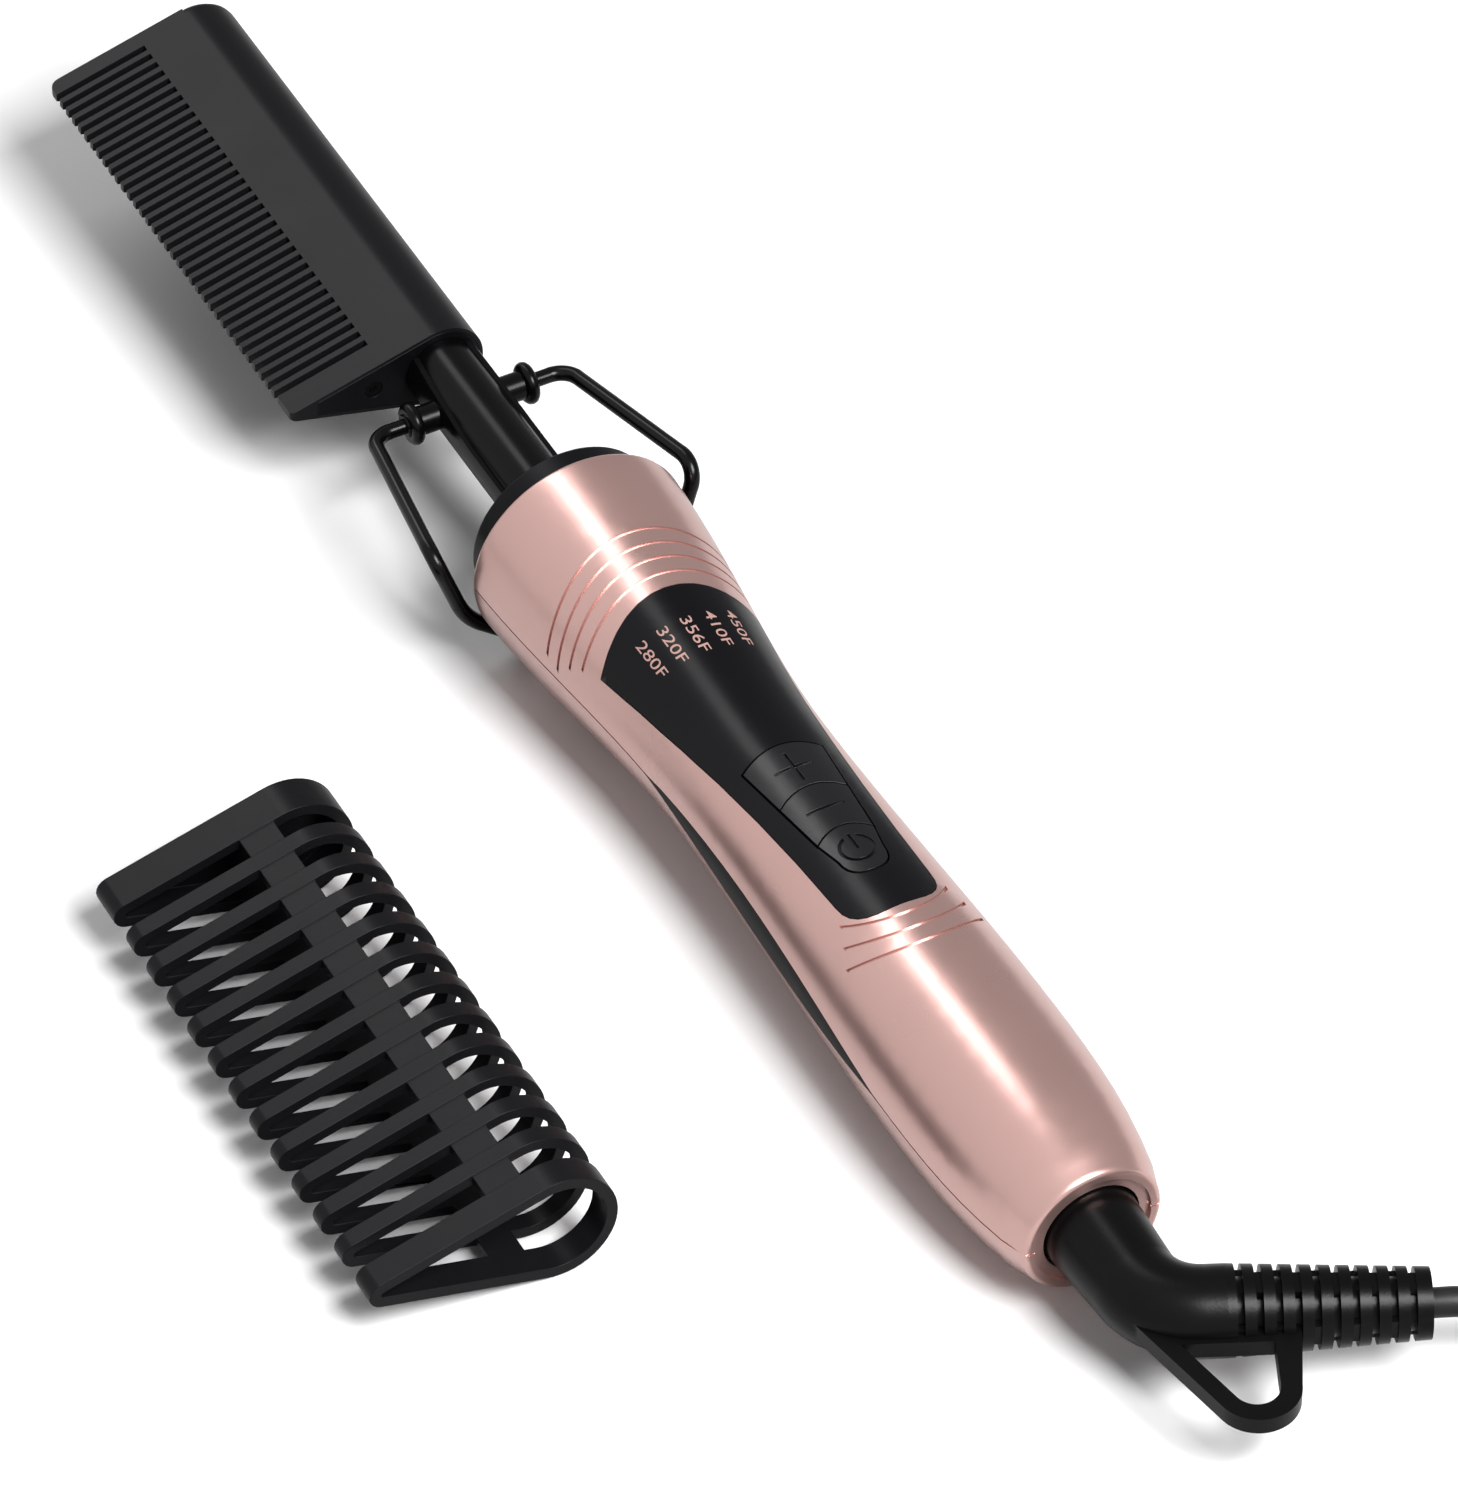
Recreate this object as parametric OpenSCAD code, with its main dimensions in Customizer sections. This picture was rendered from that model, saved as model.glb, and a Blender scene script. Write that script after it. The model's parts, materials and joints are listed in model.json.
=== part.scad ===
// Corded hot comb with its comb guard and mains lead.
// The grip's axis runs along X towards the lead, the teeth point to -Y and the keys face +Z.
// Front rim, head and wire stand are laid out from the middle of the grip's front rim.

/* [Grip] */
// Length of the grip from its front rim to its tail
grip_len = 157; // [150:1:175]
// Outer radius at the front rim
front_r = 17.75; // [17.2:0.05:18.5]
// Outer radius at the waist
waist_r = 13.2; // [12.8:0.1:14.2]
// Distance of the waist behind the front rim
waist_x = 56; // [50:1:62]
// Outer radius at the belly
belly_r = 14.9; // [14.2:0.1:16]
// Distance of the belly behind the front rim
belly_x = 122; // [114:1:128]
// Outer radius at the tail rim
tail_r = 11.1; // [10.8:0.1:12]
// Wall of the two grip shells
shell_wall = 1.8; // [1.4:0.1:2]
// Thickness of the wall that closes the tail
tail_wall = 2.5; // [2:0.1:4]
// Depth of the decorative grooves
groove_depth = 0.35; // [0.2:0.05:0.5]
// Width of the decorative grooves
groove_w = 0.5; // [0.3:0.05:0.8]
// Width of the groove along the parting line
part_line_w = 0.3; // [0.2:0.05:0.5]

/* [Panel and keys] */
// Distance of the panel's front arc behind the rim
panel_x = 28.4; // [27:0.2:30]
// Length of the panel
panel_len = 72.6; // [68:0.2:76]
// Half width of the panel at its shoulders
shoulder_w = 13.1; // [11:0.1:13.4]
// Half width of the panel at its lower end
panel_end_w = 7.6; // [7.2:0.1:8.6]
// Thickness of the panel
panel_t = 1.2; // [0.8:0.1:1.3]
// Distance of the key group behind the panel's front arc
keys_x = 36.8; // [35:0.2:39]
// Lengths of the plus and minus keys
key_len = 9.6; // [8.6:0.1:10.2]
// Length of the power key
power_len = 8.4; // [7.6:0.1:9]
// Half width of the key group at its front
key_w = 6.45; // [5.8:0.05:6.8]
// Gap round each key
key_gap = 0.3; // [0.25:0.05:0.4]
// Travel of a key
key_travel = 0.4; // [0.2:0.05:0.6]

/* [Comb head] */
// Distance from the grip's rim to the comb head
neck_len = 45.5; // [43:0.5:52]
// Length of the comb head
head_len = 88.6; // [87:0.1:96]
// Radius of the round back
barrel_r = 7.2; // [7:0.1:7.4]
// Distance from the axis to the tooth tips
blade_y = 25.5; // [23:0.5:26]
// Thickness of the tooth tips
blade_t = 1.4; // [1:0.1:1.8]
// Spacing of the teeth
tooth_pitch = 2.25; // [2:0.05:2.3]
// Number of slots between the teeth
slot_count = 36; // [20:1:36]
// Width of a slot
slot_w = 1.2; // [0.9:0.05:1.4]
// Distance from the axis to the root of the slots
slot_root_y = 10; // [9:0.5:14]
// Radius of the bore that holds the heater
heater_bore_r = 4.6; // [4.5:0.05:5]

/* [Neck and wire stand] */
// Outer radius of the neck tube
neck_r = 5.35; // [5.2:0.05:5.5]
// Radius of the black collar in front of the rim
collar_r = 15.1; // [14.6:0.1:15.3]
// How far the collar stands out of the rim
collar_out = 5.3; // [4.5:0.1:6]
// Diameter of the stand's wire
wire_d = 2.4; // [2:0.1:2.6]
// Distance of the stand's pivots in front of the rim
pivot_x = 35.9; // [34:0.1:37]
// Height of the pivots over the axis
pivot_z = 0; // [-0.4:0.1:0.8]
// Depth of the stand's cross bar below the axis
bar_z = 18.3; // [18.2:0.1:20]
// Radius of the round flange on each pivot stud
flange_r = 3.4; // [2.9:0.1:3.6]

/* [Swivel and lead] */
// Radius of the elbow where it leaves the tail
elbow_r = 7.4; // [6.9:0.1:7.6]
// Angle of the elbow
elbow_angle = 65; // [60:1:70]
// Bend radius of the elbow
elbow_bend = 10; // [9:0.5:12]
// Length of the ribbed strain relief
relief_len = 28.5; // [28:0.1:29]
// Radius of the strain relief at its thick end
relief_r = 6.6; // [6.2:0.1:6.8]
// Radius of the strain relief at its thin end
relief_end_r = 5.1; // [4.8:0.1:5.6]
// Thickness of the hang loop
loop_t = 2.8; // [2.4:0.1:3.6]
// Diameter of the mains lead
cord_d = 4.4; // [4.2:0.1:4.5]

/* [Comb guard] */
// Length of the guard
guard_len = 93; // [90:1:98]
// Outer radius of the guard's round back
guard_r = 9.15; // [9:0.05:9.4]
// Outer radius of the guard's pointed edge
guard_tip_r = 2.25; // [2.2:0.05:2.5]
// Distance between the centres of the round back and the pointed edge
guard_w = 27.3; // [26.5:0.1:28.5]
// Wall of the guard's rings
guard_wall = 1.8; // [1.4:0.1:1.8]
// Number of thin rings
guard_rings = 11; // [9:1:12]
// Thickness of a thin ring
ring_t = 2.9; // [2.4:0.1:3.2]
// Thickness of the open end ring
guard_mouth_t = 4.7; // [4:0.1:5.5]
// Depth of the closed end cap
guard_cap_t = 6.5; // [6:0.1:7.5]

/* [Hidden] */
$fn = 64;

// Clearances and small parts
touch = 0.05;
run_gap = 0.05;
seat_gap = 0.1;
free_gap = 0.3;
wire_lap = 0.2;
wire_swell = 0.02;
far = 60;

// Profile of the grip, three smooth curves joined at the waist and the belly
front_slope = -0.02;
tail_slope = -0.3;
stations = 36;
rim_round = 0.9;
tail_round = 1;
tail_recess = 0.6;
tail_lip = 1.8;

// Panel outline
arc_rise = 4.9;
shoulder_x = panel_x + arc_rise;
panel_end_x = panel_x + panel_len;
corner_run = 5.5;
side_pull_x = 28.7;
side_pull_w = 0.65;
panel_steps = 6;

// Keys
key_x0 = panel_x + keys_x;
key_x1 = key_x0 + key_len;
key_x2 = key_x1 + key_len;
key_end = key_x2 + power_len;
key_sag = 1.6;
key_taper = 0.104;
key_skirt = 1.7;
key_proud = 0.1;
stem_r = 2.2;
symbol_w = 0.5;
symbol_cut = 0.5;
sign_len = 6.2;
sign_back = 0.6;
power_ring_r = 2.8;
power_gap = 2;

// Decorative grooves round the panel, as arcs seen from above
groove_pitch = 3;
front_groove_r = 30;
front_groove_half = [14.2, 15, 15.7, 15.9];
tail_grooves = 3;
tail_groove_pitch = 3.1;
tail_groove_r = 11.2;
tail_groove_half = 8.6;
tail_groove_spread = 1.2;
part_line_depth = 0.25;
tail_groove_x = panel_end_x + 2.1;
groove_reach = 14;

// Side inlays
inlay_x0 = 47;
inlay_x1 = 121;
inlay_h = 2.5;
inlay_t = 0.8;

// Swivel
tail_in = grip_len - tail_wall;
socket_len = 18;
socket_r = 9.2;
rib_x = grip_len - 15;
rib_w = 3;
spindle_r = 6;
nose_r = 4;
nose_len = 8;
ring_r = 5;
slip_w = 2.5;
slip_pitch = 3.6;
clip_r = 7.6;
clip_w = 1.5;
clip_groove_r = 5.2;
spindle_x0 = tail_in - socket_len - 3;
leaf_t = 0.4;
leaf_w = 5;
arm_t = 1.6;
arm_w = 11;
arm_top = -clip_r - free_gap;
nose_x = spindle_x0 - nose_len;
clip_x = tail_in - socket_len - free_gap - clip_w;
mains_r = 0.7;
mains_y = 4.4;

// Circuit board and what it carries
board_x0 = panel_x + 1.6;
board_x1 = nose_x - 7.5;
board_w = 17;
board_t = 1.6;
board_top = 4.6;
board_under = board_top - board_t;
post_x = [board_x0 + 18, board_x1 - 4];
post_r = 2.6;
board_screw_r = 1;
board_screw_in = 4;
board_screw_head_r = 2.1;
board_screw_head_h = 1.3;
switch_w = 6;
switch_h = 4.3;
plunger_r = 1.7;
plunger_h = 0.7;
switch_x = [key_x0 + 4, key_x1 + 4, key_x2 + 3.4];
plunger_top = board_top + switch_h + plunger_h;
led_y = [-7.4, -3.8, 0, 3.8, 7.4];
led_x = panel_x + 9.9;
led_w = 1.6;
led_h = 0.8;
guide_r = 1.1;
guide_bar_w = 4;
guide_bar_h = 1.2;
fuse_len = 12;
fuse_r = 1.7;
triac_len = 15;
triac_w = 10;
triac_h = 4.6;
capacitor_len = 14;
capacitor_r = 4.5;
under_room = post_x[1] - post_x[0] - 2 * post_r;
under_gap = (under_room - fuse_len - triac_len - capacitor_len) / 4;
fuse_x = post_x[0] + post_r + under_gap;
triac_x = fuse_x + fuse_len + under_gap;
capacitor_x = triac_x + triac_len + under_gap;

// Screws
boss_r = 3.2;
front_screw = [22, 7.5];
rear_screw_x = board_x1 + 2 * free_gap + boss_r;
screw_at = [[front_screw[0], -front_screw[1]], front_screw, [rear_screw_x, 0]];
screw_r = 1.2;
screw_head_r = 2.3;
screw_head_h = 1.6;
boss_floor = 4;

// Collar, neck and bracket
spigot_len = 8;
spigot_r = grip_r(spigot_len) - shell_wall - seat_gap;
collar_round = 0.8;
neck_wall = 0.65;
neck_seat = 10;
flange_t = 1.5;
neck_flange_r = 10;
collar_screw_y = 8;
collar_screw_r = 1.1;
collar_screw_in = 5;
collar_head_r = 1.9;
collar_head_h = 1.3;
bracket_t = 0.65;
bracket_r = neck_r + touch + bracket_t;
bracket_top = 2;
ear_top = 2.8;
ear_end_top = 3.7;
pad_r = 2.3;
pad_y = bracket_r + 0.4;

// Pivot studs and wire stand
wire_r = wire_d / 2;
stem_len = 2.3;
flange_w = 2.1;
hub_len = 0.3;
stud_stem_r = 2.3;
hub_r = 1.9;
hub_edge = 0.2;
stud_end_y = pad_y + stem_len + flange_w + hub_len;
wire_in = 3.8;
wire_end_y = stud_end_y - wire_in;
leg_y = 16.6;
elbow_at = [-3.4, 22.2, 4.2];
knee_at = [-2.6, 17.7, -9.2];
bar_half = 6.8;
wire_corners = [
    [-pivot_x, wire_end_y, pivot_z],
    [-pivot_x, leg_y, pivot_z],
    elbow_at,
    knee_at,
    [knee_at[0], bar_half, -bar_z]
];
wire_bends = [0, 3.5, 3.5, 12, 5];

// Comb head
head_x0 = -neck_len - head_len;
head_x1 = -neck_len;
edge_round = 2;
corner_round = 0.9;
tip_inset = 0.8;
tip_corner = 1.6;
slot_x0 = head_x0 + 3.8;
// The flats touch the round back a hair inside it
wedge_angle = asin(barrel_r / norm([blade_y, blade_t / 2])) - atan2(blade_t / 2, blade_y);
flat_y = barrel_r * sin(wedge_angle);
flat_z = barrel_r * cos(wedge_angle) - 0.03;
plate_t = 1.4;
plate_inset = 0.6;
plate_short = 4.5;
bore_end_wall = 8;
head_screw_y = 11.5;
head_screw_r = 1.5;
head_screw_len = 4;
head_screw_sunk = 0.2;
head_socket_r = 0.8;
head_socket_deep = 0.6;
heater_x0 = head_x0 + bore_end_wall + 2.6;
heater_x1 = head_x1 - 16;
heater_len = heater_x1 - heater_x0;
sensor_len = 3;
sensor_r = 1.1;
ptc_w = 8;
ptc_t = 2.2;
film_t = 0.12;
wedge_r = heater_bore_r - touch;
lead_r = 0.6;
lead_y = 2.2;
lead_end_x = board_x0 + 4;
sensor_lead_y = 0.7;
sensor_lead_r = 0.35;

// Elbow, strain relief and hang loop, in the plane of the elbow
elbow_reach = 17.6;
elbow_arm = 9.4;
elbow_x = grip_len + elbow_reach;
elbow_dir = [cos(elbow_angle), sin(elbow_angle), 0];
elbow_out = [sin(elbow_angle), -cos(elbow_angle), 0];
bend_run = elbow_bend * tan(elbow_angle / 2);
relief_start = [elbow_x, 0, 0] + elbow_arm * elbow_dir;
relief_exit = relief_start + relief_len * elbow_dir;
rib_count = 10;
rib_slot = 1;
rib_first = 1.3;
rib_last = 2.2;
rib_pitch = (relief_len - rib_first - rib_last - rib_slot) / (rib_count - 1);
relief_core = 0.72;
bridge_reach = 0.88;
bridge_w = 0.6;
loop_tip = [3.15, 15.2];
loop_tip_r = 6.2;
loop_hole = [2.95, 15.15];
loop_hole_r = 3.4;
loop_root = [-14.5, 0.7];
loop_floor = relief_r + 0.6;

// Comb guard
guard_end_wall = 1.5;
guard_bar_y = -9.1;
guard_bar_w = 5.6;
guard_bar_sink = 0.25;
guard_slant = 90 + asin((guard_r - guard_tip_r) / guard_w);

// Resting place: the stand's bar and the belly touch the floor
bar_to_belly = belly_x - knee_at[0];
first_lean = atan((bar_z + wire_r - belly_r) / bar_to_belly);
lean = first_lean - atan((ride_on_grip(first_lean) - ride_on_bar(first_lean)) / bar_to_belly);
ride = ride_on_grip(lean);
function ride_on_grip(a) = max([for (i = [0:stations]) let (x = station(i)) x * sin(a) + grip_r(x) * cos(a)]);
function ride_on_bar(a) = bar_z * cos(a) + knee_at[0] * sin(a) + wire_r;
guard_pos = [23.8, -61.8];
guard_yaw = -0.8;
// Ends of the object without its lead, for the origin in the middle of its footprint
low_x = (head_x0 + edge_round) * cos(lean) - (barrel_r - edge_round) * sin(lean) - edge_round;
loop_far = relief_start + loop_tip[0] * elbow_dir + loop_tip[1] * elbow_out;
high_x = (loop_far[0] + loop_tip_r) * cos(lean) + loop_t / 2 * sin(lean);
low_y = guard_pos[1] - guard_w * cos(guard_yaw) - guard_tip_r + guard_len * sin(guard_yaw);
high_y = relief_exit[1] + relief_end_r * cos(elbow_angle);
mid_x = (low_x + high_x) / 2;
mid_y = (low_y + high_y) / 2;

// Coil of the mains lead: it spirals in and out in layers and climbs where the spiral turns round
cord_r = cord_d / 2;
tie_t = 0.6;
tie_w = 8;
tie_angle = -75;
tie_spread = 20;
coil_lift = tie_t + seat_gap;
coil_pos = [206, 91, 0];
coil_in = 20;
coil_pitch = 5;
coil_turns = 2.5;
coil_layers = 4;
coil_rise = 4.9;
coil_from = elbow_angle + 90;
loop_rings = 24;
coil_steps = coil_turns * coil_layers * loop_rings;
function ease(u) = let (c = min(1, max(0, u))) c * c * (3 - 2 * c);
function coil_radius(t) = let (k = floor(t / coil_turns), f = t / coil_turns - k)
    coil_in + coil_pitch * coil_turns * (k % 2 == 0 ? 1 - f : f);
function coil_climb(t, k) = k < 1 ? 0 : ease(2 * (t - k * coil_turns) + 0.5) + coil_climb(t, k - 1);
function coil_point(t) = coil_pos + [
    coil_radius(t) * cos(coil_from - 360 * t),
    coil_radius(t) * sin(coil_from - 360 * t),
    coil_lift + cord_r + coil_rise * coil_climb(t, coil_layers - 1)
];
coil_turned = [for (i = [0:coil_steps]) coil_point(i / loop_rings)];
coil_line = concat([coil_turned[0] - cord_d * elbow_dir], coil_turned,
    [coil_turned[coil_steps] + cord_d * elbow_dir]);
coil_gap = min([for (i = [0:coil_steps], j = [i + loop_rings / 2:coil_steps])
    norm(coil_turned[i] - coil_turned[j])]) - cord_d;
tie_out = max([for (i = [0:coil_steps])
    let (a = coil_from - 360 / loop_rings * i - tie_angle, off = a - 360 * round(a / 360))
        if (abs(off) <= tie_spread) coil_radius(i / loop_rings)]);

// Ways of the lead: from the strain relief to the coil, and from the coil to the plug
cord_route = concat([in_row(relief_exit), in_row(relief_exit + cord_d * elbow_dir)],
    [[163, 75.5, 10.5], [167, 84, 6.6], [171, 93, 3.4], [173, 97, 2.9]], [coil_line[0]]);
plug_route = concat([coil_line[coil_steps + 2]],
    [[183.3, 119.2, 17.3], [186.5, 126.1, 15.1], [190.1, 131.2, 11.8], [193.3, 133.9, 10],
        [197.1, 135.8, 8.5], [201.1, 136.8, 7.45], [204.9, 137.1, 7], [206.9, 137.1, 7]]);
function path_len(pts) = len(pts) < 2 ? 0 : sum([for (i = [1:len(pts) - 1]) norm(pts[i] - pts[i - 1])]);
function sum(v) = v * [for (x = v) 1];

// Plug
plug_at = plug_route[len(plug_route) - 1];
plug_dir = [1, 0, 0];
plug_neck = 14;
plug_ribs = 4;
plug_len = 26;
plug_w = 22;
plug_h = 14;
blade_out = 17.5;
blade_in = 4;
blade_high = 6.4;
blade_thick = 1.5;
blade_gap = 12.7;

function herm(u, len, a, slope_a, b, slope_b) =
    (2 * u * u * u - 3 * u * u + 1) * a + (u * u * u - 2 * u * u + u) * len * slope_a
    + (3 * u * u - 2 * u * u * u) * b + (u * u * u - u * u) * len * slope_b;
function grip_r(x) =
    x < waist_x ? herm(x / waist_x, waist_x, front_r, front_slope, waist_r, 0)
    : x < belly_x ? herm((x - waist_x) / (belly_x - waist_x), belly_x - waist_x, waist_r, 0, belly_r, 0)
    : herm((x - belly_x) / (grip_len - belly_x), grip_len - belly_x, belly_r, 0, tail_r, tail_slope);
function station(i) = grip_len * i / stations;
function unit(v) = v / norm(v);
function curve(a, b, c, t) = a * (1 - t) * (1 - t) + 2 * b * t * (1 - t) + c * t * t;
function turned(x, y, z, o) = [
    [x[0], y[0], z[0], o[0]],
    [x[1], y[1], z[1], o[1]],
    [x[2], y[2], z[2], o[2]],
    [0, 0, 0, 1]
];
function mirrored(pts) = concat(pts, [for (i = [len(pts) - 1:-1:1]) [pts[i][0], -pts[i][1]]]);

// Puts what is drawn round the grip's axis into its leaning resting place
module placed() {
    translate([-mid_x, -mid_y, ride])
        rotate([0, lean, 0])
            children();
}

// Solid of revolution under the grip's surface, sunk by s, from x0 to x1
module grip_solid(s, x0, x1, steps) {
    pts = [for (i = [0:steps]) let (x = x0 + (x1 - x0) * i / steps) [grip_r(x) - s, x]];
    rotate([0, 90, 0])
        rotate_extrude()
            polygon(concat([[0, x0]], pts, [[0, x1]]));
}

// The grip's outer shape with its rounded front rim and tail rim
module grip_outer() {
    front = [for (a = [0:30:90]) [front_r - rim_round * (1 - sin(a)), rim_round * (1 - cos(a))]];
    tail = [for (a = [0:30:90])
        [tail_r - tail_round * (1 - cos(a)), grip_len - tail_round * (1 - sin(a))]];
    body = [for (i = [1:stations - 1]) [grip_r(station(i)), station(i)]];
    rotate([0, 90, 0])
        rotate_extrude()
            polygon(concat([[0, 0]], front, body, tail, [[0, grip_len]]));
}

// Bar of radius r from point a to point b
module rod(a, b, r) {
    z = unit(b - a);
    x = unit(cross(abs(z[2]) < 0.9 ? [0, 0, 1] : [1, 0, 0], z));
    multmatrix(turned(x, cross(z, x), z, a))
        cylinder(h = norm(b - a), r = r);
}

// Round bend of bend radius big at corner c, on the way from a to b
module bend(a, c, b, big, r) {
    d1 = unit(c - a);
    d2 = unit(b - c);
    angle = acos(d1 * d2);
    inward = unit(d2 - (d1 * d2) * d1);
    start = c - d1 * big * tan(angle / 2);
    multmatrix(turned(-inward, d1, cross(-inward, d1), start + inward * big))
        rotate_extrude(angle = angle)
            translate([big, 0])
                circle(r);
}

function bend_cut(pts, big, i) =
    i == 0 || i == len(pts) - 1 ? 0
    : big[i] * tan(acos(unit(pts[i] - pts[i - 1]) * unit(pts[i + 1] - pts[i])) / 2);

// Wire through a list of corners, each with its bend radius; the straights end just inside the bends,
// which are a hair thicker
module wire(pts, big, r) {
    n = len(pts);
    for (i = [0:n - 2]) {
        d = unit(pts[i + 1] - pts[i]);
        lap_a = i == 0 ? 0 : wire_lap;
        lap_b = i == n - 2 ? 0 : wire_lap;
        rod(pts[i] + d * (bend_cut(pts, big, i) - lap_a),
            pts[i + 1] - d * (bend_cut(pts, big, i + 1) - lap_b), r);
    }
    for (i = [1:n - 2])
        bend(pts[i - 1], pts[i], pts[i + 1], big[i], r + wire_swell);
}

// Outline of the panel, grown by g
function panel_half(g) = concat(
    [for (i = [0:panel_steps])
        curve([panel_x - g, 0], [panel_x - g, shoulder_w * 0.55], [shoulder_x - g, shoulder_w + g],
            i / panel_steps)],
    [for (i = [1:panel_steps])
        curve([shoulder_x, shoulder_w + g],
            [shoulder_x + side_pull_x, panel_end_w + side_pull_w + g],
            [panel_end_x - corner_run, panel_end_w + g], i / panel_steps)],
    [for (i = [1:panel_steps])
        curve([panel_end_x - corner_run, panel_end_w + g], [panel_end_x + g, panel_end_w + g],
            [panel_end_x + g, panel_end_w - corner_run + g], i / panel_steps)]
);
module panel_outline(g) {
    polygon(mirrored(panel_half(g)));
}
// What lies under the panel
module panel_floor() {
    grip_solid(panel_t, panel_x - 3, panel_end_x + 3, 24);
}

// Half width of the key group at x, and the outline of one key with arched ends
function key_half(x) = key_w - (x - key_x0) * key_taper;
module key_outline(x0, x1, g) {
    arch = [for (t = [-1:0.25:1]) [x0 - g - key_sag * (1 - t * t), (key_half(x0) + g) * t]];
    back = [for (t = [1:-0.25:-1]) [x1 + g - key_sag * (1 - t * t), (key_half(x1) + g) * t]];
    polygon(concat(arch, back));
}
module power_outline(g) {
    w = key_half(key_x2) + g;
    arch = [for (t = [-1:0.25:1]) [key_x2 - g - key_sag * (1 - t * t), w * t]];
    turn = [for (i = [0:6])
        curve([key_end - 4, key_half(key_end) + g], [key_end + g, key_half(key_end) + g], [key_end + g, 0],
            i / 6)];
    round = [for (i = [5:-1:0]) [turn[i][0], -turn[i][1]]];
    polygon(concat(arch, turn, round));
}
module keys_outline(g) {
    key_outline(key_x0, key_x2, g);
    power_outline(g);
}

// Lens outline of a side inlay, as seen from the side
module inlay_lens(g) {
    mid = (inlay_x0 + inlay_x1) / 2;
    half = (inlay_x1 - inlay_x0) / 2;
    top = [for (i = [0:12]) let (t = -1 + i / 6) [mid + (half + g) * t, (inlay_h + g) * (1 - t * t)]];
    polygon(concat(top, [for (i = [11:-1:1]) [top[i][0], -top[i][1]]]));
}
// What lies under the side inlays
module inlay_floor() {
    grip_solid(inlay_t, inlay_x0 - 3, inlay_x1 + 3, 16);
}

// Arc-shaped strip seen from above, its middle at x and its ends bent to the given side
module groove_arc(x, r, side, half_w) {
    intersection() {
        translate([x + side * r, 0])
            difference() {
                circle(r);
                circle(r - groove_w);
            }
        translate([x + side * (groove_reach / 2 - 1), 0])
            square([groove_reach, 2 * half_w], center = true);
    }
}
module grooves_plan() {
    for (i = [0:len(front_groove_half) - 1])
        groove_arc(panel_x - groove_pitch * (i + 1), front_groove_r, 1, front_groove_half[i]);
    for (i = [0:tail_grooves - 1])
        groove_arc(tail_groove_x + tail_groove_pitch * i, tail_groove_r + tail_groove_pitch * i, -1,
            tail_groove_half + tail_groove_spread * i);
}

// Full shell before it is split at the parting line
module shell_blank() {
    difference() {
        grip_outer();
        difference() {
            grip_solid(shell_wall, -1, tail_in, 24);
            translate([rib_x, 0, 0])
                rotate([0, 90, 0])
                    difference() {
                        cylinder(h = rib_w, r = belly_r);
                        translate([0, 0, -1])
                            cylinder(h = rib_w + 2, r = socket_r + touch);
                    }
        }
        translate([tail_in - 1, 0, 0])
            rotate([0, 90, 0])
                cylinder(h = tail_wall + 2, r = elbow_r + free_gap);
        translate([grip_len - tail_recess, 0, 0])
            rotate([0, 90, 0])
                cylinder(h = tail_recess + 1, r = tail_r - tail_lip);
    }
}

// Fine groove round the shells where they meet
module parting_line() {
    difference() {
        translate([-1, -far, -part_line_w / 2])
            cube([grip_len + 2, 2 * far, part_line_w]);
        grip_solid(part_line_depth, part_line_depth, grip_len - part_line_depth, stations);
    }
}

module inlay_pockets() {
    for (s = [-1, 1])
        difference() {
            intersection() {
                grip_solid(-1, inlay_x0 - 2, inlay_x1 + 2, 16);
                rotate([90, 0, 0])
                    translate([0, 0, s > 0 ? -far : 0])
                        linear_extrude(far)
                            inlay_lens(touch);
            }
            inlay_floor();
        }
}

module upper_shell() {
    color("#c99a92")
        placed()
            difference() {
                union() {
                    intersection() {
                        shell_blank();
                        translate([-far, -far, 0])
                            cube([grip_len + 2 * far, 2 * far, far]);
                    }
                    for (p = screw_at)
                        intersection() {
                            translate(p)
                                cylinder(h = far, r = boss_r);
                            grip_solid(shell_wall / 2, p[0] - 5, p[0] + 5, 4);
                        }
                }
                difference() {
                    linear_extrude(far)
                        panel_outline(seat_gap);
                    panel_floor();
                }
                linear_extrude(far)
                    keys_outline(2 * key_gap);
                translate([led_x - guide_r - free_gap, -board_w / 2 - 0.5, 0])
                    cube([2 * (guide_r + free_gap), board_w + 1, far]);
                intersection() {
                    linear_extrude(far)
                        grooves_plan();
                    difference() {
                        grip_solid(-1, 4, tail_groove_x + 12, 24);
                        grip_solid(groove_depth, 3, tail_groove_x + 13, 26);
                    }
                }
                inlay_pockets();
                parting_line();
                for (p = screw_at)
                    translate([p[0], p[1], -1])
                        cylinder(h = boss_floor + 4, r = screw_r);
            }
}

module lower_shell() {
    color("#c99a92")
        placed()
            difference() {
                union() {
                    intersection() {
                        shell_blank();
                        translate([-far, -far, -far])
                            cube([grip_len + 2 * far, 2 * far, far]);
                    }
                    for (p = screw_at)
                        intersection() {
                            translate([p[0], p[1], -far])
                                cylinder(h = far, r = boss_r);
                            grip_solid(shell_wall / 2, p[0] - 5, p[0] + 5, 4);
                        }
                    for (x = post_x)
                        intersection() {
                            translate([x, 0, -far])
                                cylinder(h = far + board_under, r = post_r);
                            grip_solid(shell_wall / 2, x - 5, x + 5, 4);
                        }
                }
                inlay_pockets();
                parting_line();
                for (p = screw_at)
                    translate([p[0], p[1], -far]) {
                        cylinder(h = far + 1, r = screw_r);
                        cylinder(h = far - boss_floor, r = screw_head_r);
                    }
                for (x = post_x)
                    translate([x, 0, -board_screw_in - 1])
                        cylinder(h = far, r = board_screw_r);
            }
}

module control_panel() {
    color("#141414")
        placed()
            difference() {
                intersection() {
                    linear_extrude(far)
                        panel_outline(0);
                    grip_solid(0, panel_x - 2, panel_end_x + 2, 24);
                }
                panel_floor();
                linear_extrude(far)
                    keys_outline(key_gap);
            }
}

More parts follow.
